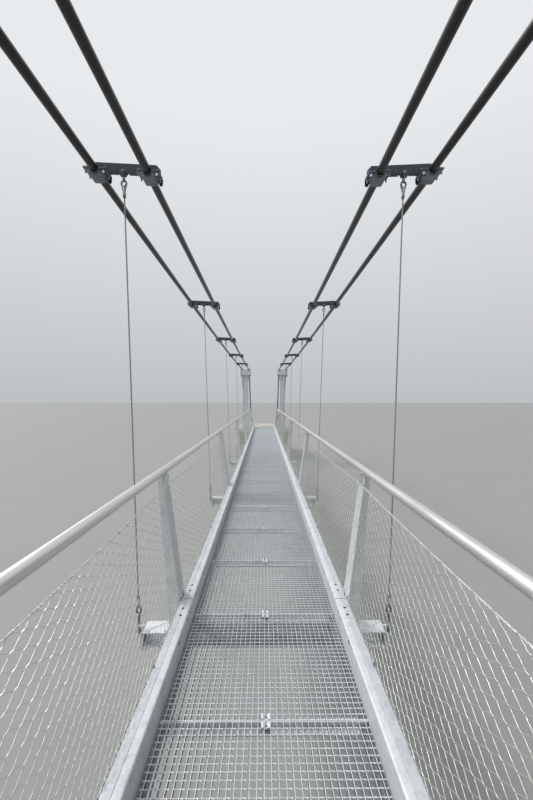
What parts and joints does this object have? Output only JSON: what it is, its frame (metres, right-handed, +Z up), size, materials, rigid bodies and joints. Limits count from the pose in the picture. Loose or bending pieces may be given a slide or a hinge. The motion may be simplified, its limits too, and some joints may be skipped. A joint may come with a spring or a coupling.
{
  "type": "suspension footbridge",
  "caption": "Steel suspension footbridge: grated walkway on cross-frames, hung by rope hangers from paired cables that run over pylons to concrete abutments, with net railings.",
  "frame": {"origin": "on the ground, under the middle of the bridge", "axes": "+Z up, +Y along the bridge towards its north end, +X across it to the right"},
  "size_m": [3.4, 32.6, 5.4507],
  "materials": {
    "galvanised_steel": "weathered hot-dip zinc, dull grey",
    "grating_steel": "hot-dip zinc, slightly darker in the mesh",
    "stainless_tube": "finely brushed",
    "hanger_rope": "bright stranded wire",
    "net_wire": "bright thin wire",
    "locked_coil_rope": "dull, dark olive grey",
    "clamp_paint": "satin, dark blue grey",
    "concrete": "bare board-marked concrete"
  },
  "bodies": {
    "root": {"abutment_north": "concrete", "abutment_south": "concrete", "pylon_left_north": "galvanised_steel", "anchor_left_north": "galvanised_steel", "end_post_left_north": "galvanised_steel", "pylon_left_south": "galvanised_steel", "anchor_left_south": "galvanised_steel", "end_post_left_south": "galvanised_steel", "main_cable_inner_left": "locked_coil_rope", "main_cable_outer_left": "locked_coil_rope", "kerb_left": "galvanised_steel", "handrail_left": "stainless_tube", "safety_net_left": "net_wire", "cable_clamp_left_1": "clamp_paint", "hanger_left_1": "hanger_rope", "cable_clamp_left_2": "clamp_paint", "hanger_left_2": "hanger_rope", "cable_clamp_left_3": "clamp_paint", "hanger_left_3": "hanger_rope", "cable_clamp_left_4": "clamp_paint", "hanger_left_4": "hanger_rope", "cable_clamp_left_5": "clamp_paint", "hanger_left_5": "hanger_rope", "pylon_right_north": "galvanised_steel", "anchor_right_north": "galvanised_steel", "end_post_right_north": "galvanised_steel", "pylon_right_south": "galvanised_steel", "anchor_right_south": "galvanised_steel", "end_post_right_south": "galvanised_steel", "main_cable_inner_right": "locked_coil_rope", "main_cable_outer_right": "locked_coil_rope", "kerb_right": "galvanised_steel", "handrail_right": "stainless_tube", "safety_net_right": "net_wire", "cable_clamp_right_1": "clamp_paint", "hanger_right_1": "hanger_rope", "cable_clamp_right_2": "clamp_paint", "hanger_right_2": "hanger_rope", "cable_clamp_right_3": "clamp_paint", "hanger_right_3": "hanger_rope", "cable_clamp_right_4": "clamp_paint", "hanger_right_4": "hanger_rope", "cable_clamp_right_5": "clamp_paint", "hanger_right_5": "hanger_rope", "cross_frame_1": "galvanised_steel", "cross_frame_2": "galvanised_steel", "cross_frame_3": "galvanised_steel", "cross_frame_4": "galvanised_steel", "cross_frame_5": "galvanised_steel", "grating_bay_1": "grating_steel", "grating_bay_2": "grating_steel", "grating_bay_3": "grating_steel", "grating_bay_4": "grating_steel", "grating_bay_5": "grating_steel", "grating_bay_6": "grating_steel"}
  },
  "joints": []
}
